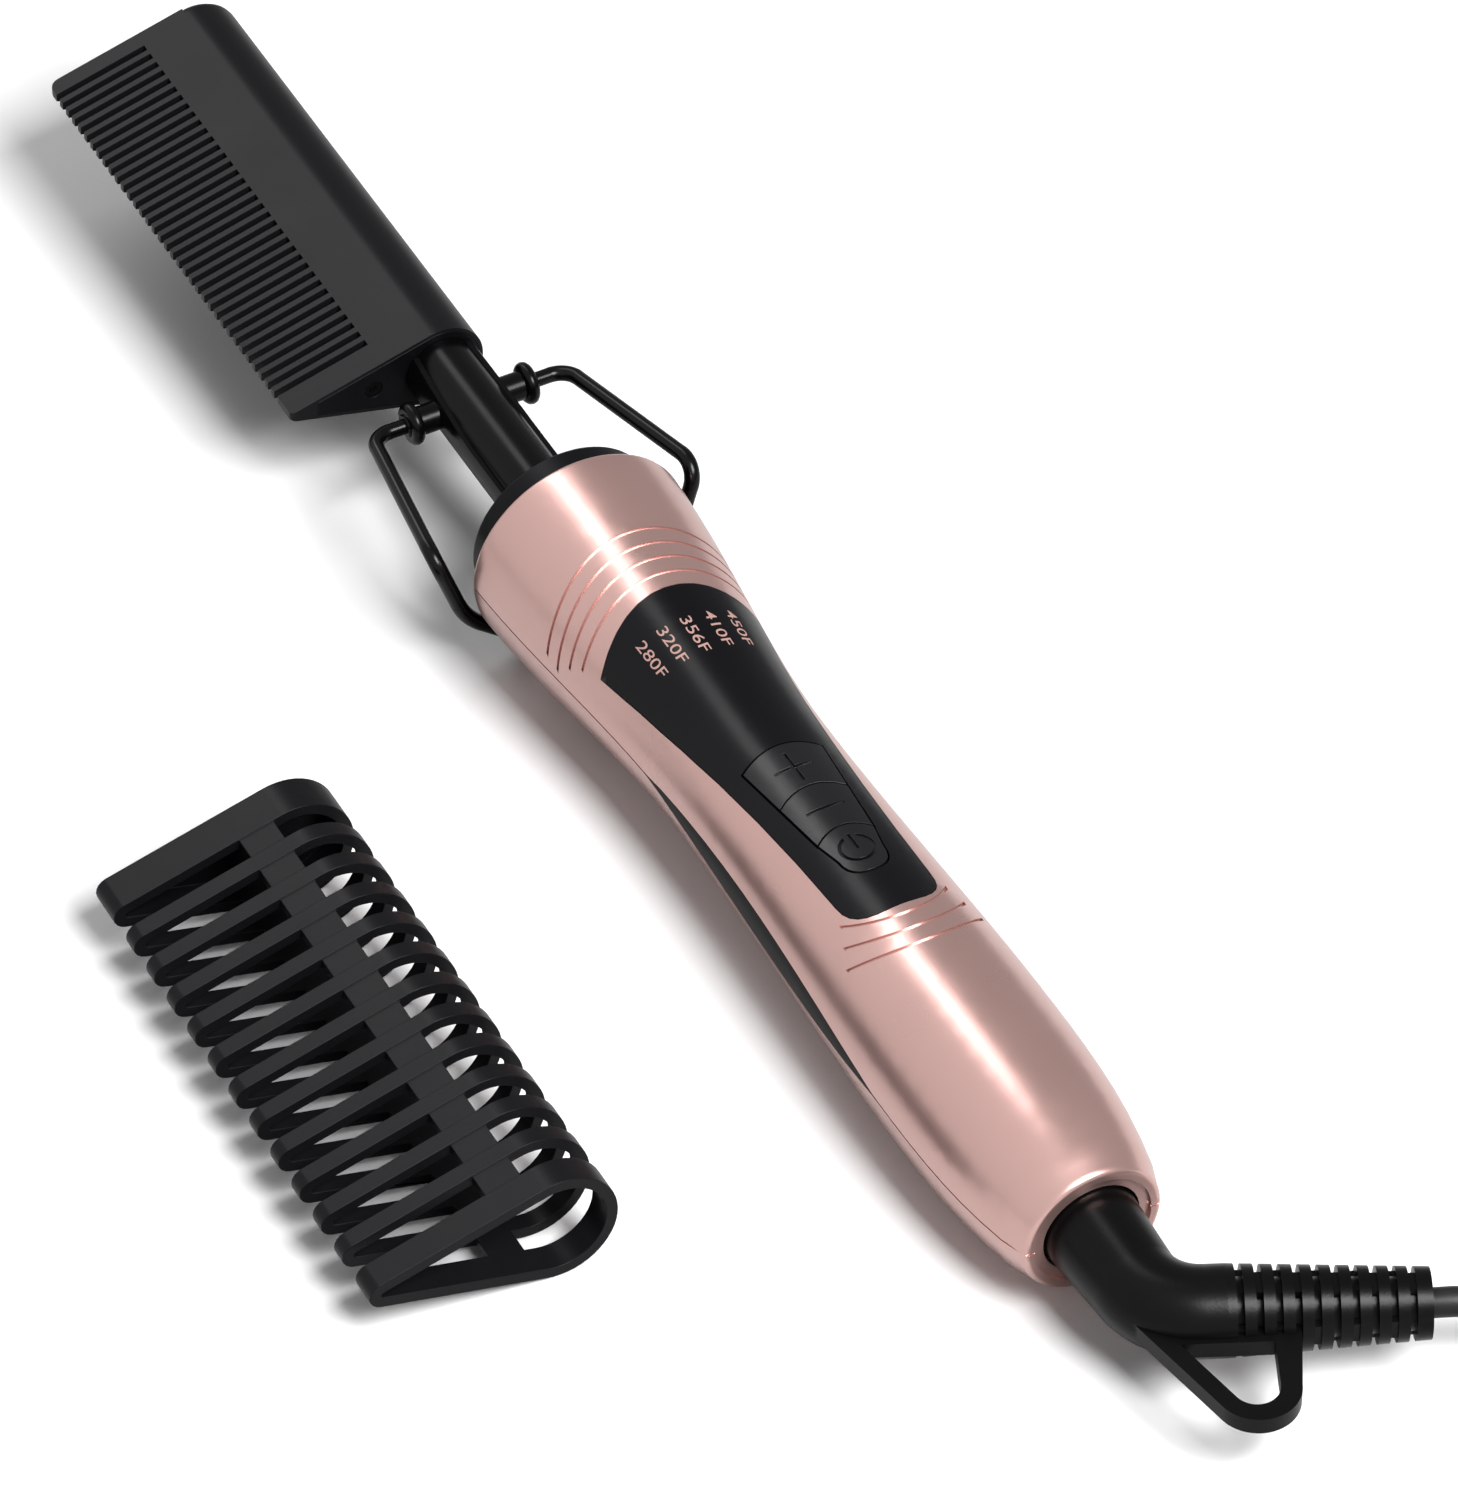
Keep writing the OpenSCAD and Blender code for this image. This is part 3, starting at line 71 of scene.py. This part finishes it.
# ---------------------------------------------------------------------------------------------
# Finishes: every material is one shader with a fine surface from a shared node group, and every
# finished piece is a smooth copy of its solid, so both are made by a function each.
# ---------------------------------------------------------------------------------------------
surface_detail = bpy.data.node_groups.new("surface_detail", "ShaderNodeTree")
for socket, value in (("Scale", 4000), ("Roughness Low", 0.3), ("Roughness High", 0.4)):
    made = surface_detail.interface.new_socket(socket, in_out="INPUT", socket_type="NodeSocketFloat")
    made.default_value = value
for socket in ("Height", "Roughness", "Shade"):
    surface_detail.interface.new_socket(socket, in_out="OUTPUT", socket_type="NodeSocketFloat")
nodes, links = surface_detail.nodes, surface_detail.links
enter = nodes.new("NodeGroupInput")
leave = nodes.new("NodeGroupOutput")
place = nodes.new("ShaderNodeTexCoord")
grain = nodes.new("ShaderNodeTexNoise")
grain.inputs["Detail"].default_value = 2
links.new(place.outputs["Object"], grain.inputs["Vector"])
links.new(enter.outputs["Scale"], grain.inputs["Scale"])
blotch = nodes.new("ShaderNodeTexNoise")
blotch.inputs["Scale"].default_value = 90
blotch.inputs["Detail"].default_value = 3
links.new(place.outputs["Object"], blotch.inputs["Vector"])
rough = nodes.new("ShaderNodeMapRange")
rough.inputs["From Min"].default_value = 0.3
rough.inputs["From Max"].default_value = 0.7
links.new(blotch.outputs["Fac"], rough.inputs["Value"])
links.new(enter.outputs["Roughness Low"], rough.inputs["To Min"])
links.new(enter.outputs["Roughness High"], rough.inputs["To Max"])
links.new(grain.outputs["Fac"], leave.inputs["Height"])
links.new(rough.outputs[0], leave.inputs["Roughness"])
links.new(blotch.outputs["Fac"], leave.inputs["Shade"])


def shader(material):
    """The nodes, the links and the main shader of a new material."""
    material.use_nodes = True
    nodes = material.node_tree.nodes
    return nodes, material.node_tree.links, nodes["Principled BSDF"]


def coated(name, color, low, high, grain, depth, metallic=0.0, coat=0.0, coat_rough=0.1,
           shade=0.12, gloss=0.5):
    """A moulded, lacquered or metal finish: a colour, a roughness range and a fine grain in real metres."""
    material = bpy.data.materials.new(name)
    nodes, links, bsdf = shader(material)
    detail = nodes.new("ShaderNodeGroup")
    detail.node_tree = surface_detail
    detail.inputs["Scale"].default_value = 1 / grain
    detail.inputs["Roughness Low"].default_value = low
    detail.inputs["Roughness High"].default_value = high
    tone = nodes.new("ShaderNodeMix")
    tone.data_type = "RGBA"
    tone.inputs["A"].default_value = (*[c * (1 - shade) for c in color], 1)
    tone.inputs["B"].default_value = (*[min(1, c * (1 + shade)) for c in color], 1)
    links.new(detail.outputs["Shade"], tone.inputs["Factor"])
    links.new(tone.outputs["Result"], bsdf.inputs["Base Color"])
    links.new(detail.outputs["Roughness"], bsdf.inputs["Roughness"])
    bump = nodes.new("ShaderNodeBump")
    bump.inputs["Strength"].default_value = 1
    bump.inputs["Distance"].default_value = depth
    links.new(detail.outputs["Height"], bump.inputs["Height"])
    links.new(bump.outputs["Normal"], bsdf.inputs["Normal"])
    bsdf.inputs["Metallic"].default_value = metallic
    bsdf.inputs["Coat Weight"].default_value = coat
    bsdf.inputs["Coat Roughness"].default_value = coat_rough
    bsdf.inputs["Specular IOR Level"].default_value = gloss
    return material


def dressed(node, material, edge=0.0, steps=2):
    """A merged copy of a solid with soft shading, broken edges and its finish, in place of the solid."""
    sharp = math.radians(30)
    same_point = 2e-6
    same_plane = math.radians(0.3)
    shape = bmesh.new()
    shape.from_mesh(frame["nodes"][node].data)
    bmesh.ops.remove_doubles(shape, verts=shape.verts, dist=same_point)
    bmesh.ops.dissolve_limit(shape, angle_limit=same_plane, verts=shape.verts, edges=shape.edges)
    for face in shape.faces:
        face.smooth = True
    for line in shape.edges:
        line.smooth = len(line.link_faces) == 2 and line.calc_face_angle(0) < sharp
    mesh = bpy.data.meshes.new(node + "_finished")
    shape.to_mesh(mesh)
    shape.free()
    mesh.materials.append(material)
    piece = bpy.data.objects.new(mesh.name, mesh)
    scene.collection.objects.link(piece)
    if edge:
        bevel = piece.modifiers.new("broken_edges", "BEVEL")
        bevel.width = edge
        bevel.segments = steps
        bevel.limit_method = "ANGLE"
        bevel.angle_limit = sharp
        bevel.harden_normals = True
    normals = piece.modifiers.new("area_normals", "WEIGHTED_NORMAL")
    normals.keep_sharp = True
    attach(piece, node_body[node])
    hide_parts(node)
    return piece


# ---------------------------------------------------------------------------------------------
# Studio: a white sweep that is white by its own colour and keeps the soft shadows, a soft lamp
# high past the tail and a long strip lamp past the comb's tip. What is shiny mirrors a room that
# is light on the guard's side and dim on the other, and a duller sweep.
# ---------------------------------------------------------------------------------------------
scene.view_settings.view_transform = "Standard"

sweep_seen = 0.95
sweep_unseen = 0.4
sweep_mirrored = 0.3
floor_material = bpy.data.materials.new("studio_white")
nodes, links, bsdf = shader(floor_material)
bsdf.inputs["Roughness"].default_value = 0.9
bsdf.inputs["Specular IOR Level"].default_value = 0
light_path = nodes.new("ShaderNodeLightPath")
tone = nodes.new("ShaderNodeMix")
tone.data_type = "RGBA"
tone.inputs["A"].default_value = (sweep_unseen, sweep_unseen, sweep_unseen, 1)
tone.inputs["B"].default_value = (sweep_seen, sweep_seen, sweep_seen, 1)
seen = nodes.new("ShaderNodeMath")
seen.operation = "MULTIPLY_ADD"
links.new(light_path.outputs["Is Glossy Ray"], seen.inputs[0])
seen.inputs[1].default_value = sweep_mirrored
links.new(light_path.outputs["Is Camera Ray"], seen.inputs[2])
links.new(seen.outputs[0], tone.inputs["Factor"])
links.new(tone.outputs["Result"], bsdf.inputs["Base Color"])

floor_half = 6.0
floor_drop = 0.0002
floor_mesh = bpy.data.meshes.new("floor")
corners = [(x * floor_half, y * floor_half, -floor_drop) for x, y in ((-1, -1), (1, -1), (1, 1), (-1, 1))]
floor_mesh.from_pydata(corners, [], [(0, 1, 2, 3)])
floor_mesh.materials.append(floor_material)
floor = bpy.data.objects.new("floor", floor_mesh)
scene.collection.objects.link(floor)

room_light = 0.25
world = bpy.data.worlds.new("studio")
scene.world = world
world.use_nodes = True
nodes = world.node_tree.nodes
links = world.node_tree.links
light_path = nodes.new("ShaderNodeLightPath")
way = nodes.new("ShaderNodeTexCoord")
side = nodes.new("ShaderNodeSeparateXYZ")
links.new(way.outputs["Generated"], side.inputs[0])
mirrored = nodes.new("ShaderNodeMapRange")
mirrored.interpolation_type = "SMOOTHSTEP"
for socket, value in (("From Min", -0.35), ("From Max", 0.35), ("To Min", 0.8), ("To Max", 0.3)):
    mirrored.inputs[socket].default_value = value
links.new(side.outputs["Y"], mirrored.inputs["Value"])
level = nodes.new("ShaderNodeMapRange")
level.inputs["To Min"].default_value = room_light
links.new(mirrored.outputs[0], level.inputs["To Max"])
links.new(light_path.outputs["Is Glossy Ray"], level.inputs["Value"])
nodes["Background"].inputs["Color"].default_value = (1, 1, 1, 1)
links.new(level.outputs[0], nodes["Background"].inputs["Strength"])


def soft_lamp(name, place, aim, width, height, power):
    """A soft box at a place, turned to what it lights."""
    data = bpy.data.lights.new(name, "AREA")
    data.shape = "RECTANGLE"
    data.size = width
    data.size_y = height
    data.energy = power
    lamp = bpy.data.objects.new(name, data)
    lamp.location = place
    lamp.rotation_euler = (Vector(aim) - Vector(place)).to_track_quat("-Z", "Y").to_euler()
    scene.collection.objects.link(lamp)


soft_lamp("key_lamp", place=(0.84, 0.21, 1.05), aim=(0.03, 0, 0.01), width=0.6, height=0.6, power=28)
soft_lamp("strip_lamp", place=(-0.85, -0.02, 1.0), aim=(0, 0, 0.01), width=0.3, height=1.2, power=4)

# ---------------------------------------------------------------------------------------------
# Mains lead: a round two-core lead in a smooth satin jacket, 4.4 mm across and 1.74 m long. It
# leaves the strain relief, sinks to the floor, lies in a tied coil and ends in the plug.
# ---------------------------------------------------------------------------------------------
cord_diameter = 0.0044
cord_radius = cord_diameter / 2
skin_gap = 0.995  # the jacket stays a hair inside the pieces that grip it
relief_exit = Vector((0.157697, 0.062420, 0.012687))
cord_angle = math.radians(65)
cord_heading = Vector((math.cos(cord_angle), math.sin(cord_angle), 0))
coil_middle = Vector((0.206, 0.091, 0))
coil_inner = 0.020
coil_pitch = 0.005
coil_turns = 2.5
coil_layers = 4
coil_rise = 0.0049
coil_low = 0.0007 + cord_radius
coil_from = math.radians(155)
loop_steps = 24
way_down = ((0.163, 0.0755, 0.0105), (0.167, 0.084, 0.0066), (0.171, 0.093, 0.0034), (0.173, 0.097, 0.0029))
way_to_plug = (
    (0.1833, 0.1192, 0.0173), (0.1865, 0.1261, 0.0151), (0.1901, 0.1312, 0.0118), (0.1933, 0.1339, 0.01),
    (0.1971, 0.1358, 0.0085), (0.2011, 0.1368, 0.00745), (0.2049, 0.1371, 0.007), (0.2069, 0.1371, 0.007),
)


def ease(u):
    """Smooth step from 0 to 1."""
    u = min(1, max(0, u))
    return u * u * (3 - 2 * u)


def coil_point(t):
    """The coil's middle line after t turns: it spirals in and out and climbs where it turns round."""
    layer = math.floor(t / coil_turns)
    share = t / coil_turns - layer
    radius = coil_inner + coil_pitch * coil_turns * (share if layer % 2 else 1 - share)
    climb = sum(ease(2 * (t - k * coil_turns) + 0.5) for k in range(1, coil_layers))
    angle = coil_from - 2 * math.pi * t
    height = coil_low + coil_rise * climb
    return coil_middle + Vector((radius * math.cos(angle), radius * math.sin(angle), height))


coil = [coil_point(i / loop_steps) for i in range(int(coil_turns * coil_layers * loop_steps) + 1)]
straight = cord_heading * cord_diameter
route = [relief_exit, relief_exit + straight]
route += [Vector(p) for p in way_down]
route += [coil[0] - straight] + coil + [coil[-1] + straight]
route += [Vector(p) for p in way_to_plug]

cord_curve = bpy.data.curves.new("mains_lead", "CURVE")
cord_curve.dimensions = "3D"
cord_curve.bevel_depth = cord_radius * skin_gap
cord_curve.bevel_resolution = 5
cord_curve.resolution_u = 3
cord_curve.use_fill_caps = True
spline = cord_curve.splines.new("BEZIER")
spline.bezier_points.add(len(route) - 1)
for knot, spot in zip(spline.bezier_points, route):
    knot.co = spot
    knot.handle_left_type = knot.handle_right_type = "AUTO"
cord_line = bpy.data.objects.new("mains_lead_line", cord_curve)
scene.collection.objects.link(cord_line)
cord_mesh = bpy.data.meshes.new_from_object(cord_line.evaluated_get(bpy.context.evaluated_depsgraph_get()))
bpy.data.objects.remove(cord_line)
jacket = coated("cord_jacket", (0.008, 0.008, 0.009), 0.38, 0.5, 0.0003, 0.00002, gloss=0.35)
cord_mesh.materials.append(jacket)
cord = bpy.data.objects.new("mains_lead", cord_mesh)
scene.collection.objects.link(cord)
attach(cord, "swivel")
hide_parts("power_cord", "cord_coil", "plug_lead")

plug_black = coated("plug_moulding", (0.009, 0.009, 0.01), 0.42, 0.55, 0.0004, 0.00003, gloss=0.35)
tie_black = coated("tie_strap", (0.012, 0.012, 0.013), 0.5, 0.6, 0.0003, 0.00003, gloss=0.35)
plated = coated("plated_steel", (0.55, 0.55, 0.56), 0.22, 0.34, 0.0005, 0.00001, metallic=1)
plug = dressed("plug_body", plug_black, edge=0.0006, steps=3)
blades = dressed("plug_pins", plated, edge=0.0002)
tie = dressed("cord_tie", tie_black, edge=0.0002)

# ---------------------------------------------------------------------------------------------
# Grip: two moulded shells in a rose-gold metallic lacquer under a clear coat. They meet on a
# fine line along the sides, and the moulds leave grooves round the front and behind the panel.
# ---------------------------------------------------------------------------------------------
rose = coated("rose_lacquer", (0.68, 0.425, 0.39), 0.27, 0.31, 0.0002, 0.000003, metallic=0.85, coat=0.3,
              coat_rough=0.15, shade=0.02)
dressed("upper_shell", rose, edge=0.00012)
dressed("lower_shell", rose, edge=0.00012)

# ---------------------------------------------------------------------------------------------
# Control panel, its keys and the two side inlays: gloss black mouldings let into the shells,
# and satin keys with their signs cut in.
# ---------------------------------------------------------------------------------------------
gloss_black = coated("gloss_black", (0.003, 0.003, 0.004), 0.24, 0.26, 0.0006, 0.000002, gloss=0.18)
inlay_black = coated("inlay_black", (0.002, 0.002, 0.0024), 0.3, 0.34, 0.0004, 0.000004, gloss=0.04)
key_black = coated("key_black", (0.006, 0.006, 0.007), 0.26, 0.3, 0.00012, 0.000006, gloss=0.36)
dressed("control_panel", gloss_black, edge=0.00018)
dressed("side_inlay_left", inlay_black, edge=0.0001)
dressed("side_inlay_right", inlay_black, edge=0.0001)
for key in ("plus_button", "minus_button", "power_button"):
    dressed(key, key_black, edge=0.00014)

# ---------------------------------------------------------------------------------------------
# Temperature labels: thin rose print over the five light points. Each number is made flat, cut
# into rows so that it can bend, and laid on the panel's curved surface.
# ---------------------------------------------------------------------------------------------
label_rose = coated("label_print", (0.42, 0.25, 0.22), 0.4, 0.5, 0.0002, 0.000004, gloss=0.3, shade=0.05)
grip_lean = math.radians(2.01258)
grip_place = Matrix.Translation((-0.0328022, 0.0280707, 0.0193817)) @ Matrix.Rotation(grip_lean, 4, "Y")
panel = frame["nodes"]["control_panel"].data
panel_surface = BVHTree.FromPolygons([v.co for v in panel.vertices], [f.vertices for f in panel.polygons])
panel_radius = 0.0145
outside_panel = 0.03
label_x = 0.0382
label_length = 0.0072
label_height = 0.00175
label_lift = 0.00002
label_rows = 6
for number, angle in (("280F", -30.5), ("320F", -15.5), ("356F", 0), ("410F", 15.5), ("450F", 30.5)):
    words = bpy.data.curves.new("label_" + number, "FONT")
    words.body = number
    words.offset = 0.002
    words.resolution_u = 4
    flat = bpy.data.objects.new("label_" + number, words)
    scene.collection.objects.link(flat)
    bpy.context.view_layer.update()
    print_mesh = bpy.data.meshes.new_from_object(flat.evaluated_get(bpy.context.evaluated_depsgraph_get()))
    bpy.data.objects.remove(flat)
    low_x, high_x = (f(v.co.x for v in print_mesh.vertices) for f in (min, max))
    low_y, high_y = (f(v.co.y for v in print_mesh.vertices) for f in (min, max))
    shape = bmesh.new()
    shape.from_mesh(print_mesh)
    for row in range(1, label_rows):
        height = low_y + (high_y - low_y) * row / label_rows
        bmesh.ops.bisect_plane(shape, geom=shape.verts[:] + shape.edges[:] + shape.faces[:],
                               plane_co=(0, height, 0), plane_no=(0, 1, 0))
    for point in shape.verts:
        along = label_x + ((point.co.x - low_x) / (high_x - low_x) - 0.5) * label_length
        across = ((point.co.y - low_y) / (high_y - low_y) - 0.5) * label_height
        tilt = math.radians(angle) + across / panel_radius
        out = Vector((0, math.sin(tilt), math.cos(tilt)))
        above = grip_place @ (Vector((along, 0, 0)) + out * outside_panel)
        out = grip_place.to_3x3() @ out
        point.co = panel_surface.ray_cast(above, -out)[0] + out * label_lift
    shape.to_mesh(print_mesh)
    shape.free()
    print_mesh.materials.clear()
    print_mesh.materials.append(label_rose)
    label = bpy.data.objects.new("label_" + number, print_mesh)
    scene.collection.objects.link(label)
    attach(label, "handle")

# ---------------------------------------------------------------------------------------------
# Front end: the black collar, the neck tube with its bracket and studs, and the wire stand.
# ---------------------------------------------------------------------------------------------
satin_black = coated("satin_black", (0.003, 0.003, 0.004), 0.34, 0.4, 0.0003, 0.00001, gloss=0.12)
neck_black = coated("neck_coating", (0.0018, 0.0018, 0.002), 0.22, 0.26, 0.0003, 0.000006, gloss=0.16)
wire_black = coated("wire_coating", (0.0018, 0.0018, 0.002), 0.2, 0.26, 0.0008, 0.00001, gloss=0.2)
dressed("front_collar", satin_black, edge=0.0002)
dressed("neck_tube", neck_black, edge=0.0001)
dressed("stand_bracket", neck_black, edge=0.0001)
dressed("pivot_studs", neck_black)
dressed("stand_wire", wire_black)

# ---------------------------------------------------------------------------------------------
# Comb head: a cast aluminium comb with a dark coating, its end plate and the plate's screw.
# ---------------------------------------------------------------------------------------------
comb_coating = coated("comb_coating", (0.007, 0.007, 0.008), 0.3, 0.33, 0.0003, 0.000006, gloss=0.12,
                      shade=0.04)
dressed("comb_head", comb_coating, edge=0.00014)
dressed("head_end_plate", satin_black, edge=0.0001)
dressed("head_screw", neck_black, edge=0.00006)

# ---------------------------------------------------------------------------------------------
# Swivel elbow: one soft black moulding over the lead, with the hang loop and the strain relief.
# ---------------------------------------------------------------------------------------------
elbow_black = coated("elbow_moulding", (0.002, 0.002, 0.0022), 0.27, 0.32, 0.0004, 0.000012, gloss=0.14)
dressed("swivel_elbow", elbow_black, edge=0.0003)

# ---------------------------------------------------------------------------------------------
# Comb guard: an open cage of rings in satin black plastic that slides over the comb head.
# ---------------------------------------------------------------------------------------------
guard_black = coated("guard_moulding", (0.005, 0.005, 0.006), 0.32, 0.37, 0.0003, 0.00001, gloss=0.14)
dressed("comb_cover", guard_black, edge=0.0003)

# ---------------------------------------------------------------------------------------------
# Inner pieces: the heater, the board with its parts, the screws and the swivel's contacts keep
# their solids, each with the finish of its material slot.
# ---------------------------------------------------------------------------------------------
finishes = {
    "heater_ceramic": coated("heater_ceramic", (0.6, 0.56, 0.48), 0.5, 0.7, 0.0005, 0.00002),
    "insulating_film": coated("amber_film", (0.45, 0.22, 0.05), 0.2, 0.35, 0.0005, 0.00001),
    "bare_aluminium": coated("bare_aluminium", (0.72, 0.72, 0.74), 0.3, 0.45, 0.0004, 0.00001, metallic=1),
    "lead_sleeve": coated("braid_sleeve", (0.75, 0.73, 0.66), 0.6, 0.8, 0.0002, 0.00003),
    "board_green": coated("board_mask", (0.03, 0.2, 0.08), 0.25, 0.4, 0.0006, 0.00001),
    "led_lens": coated("lamp_lens", (0.8, 0.78, 0.68), 0.15, 0.25, 0.0005, 0.00001),
    "clear_guide": coated("light_guide", (0.75, 0.8, 0.84), 0.12, 0.2, 0.0005, 0.00001),
    "red_film": coated("dipped_film", (0.5, 0.05, 0.04), 0.2, 0.32, 0.0005, 0.00001),
    "fuse_glass": coated("fuse_tube", (0.8, 0.82, 0.8), 0.1, 0.2, 0.0005, 0.00001),
    "contact_brass": coated("contact_brass", (0.75, 0.52, 0.22), 0.25, 0.35, 0.0004, 0.00001, metallic=1),
    "satin_black": satin_black,
    "zinc_steel": plated,
}
for name, solid in frame["nodes"].items():
    if not solid.hide_render:
        solid.data.materials.clear()
        solid.data.materials.append(finishes[node_slot[name]])
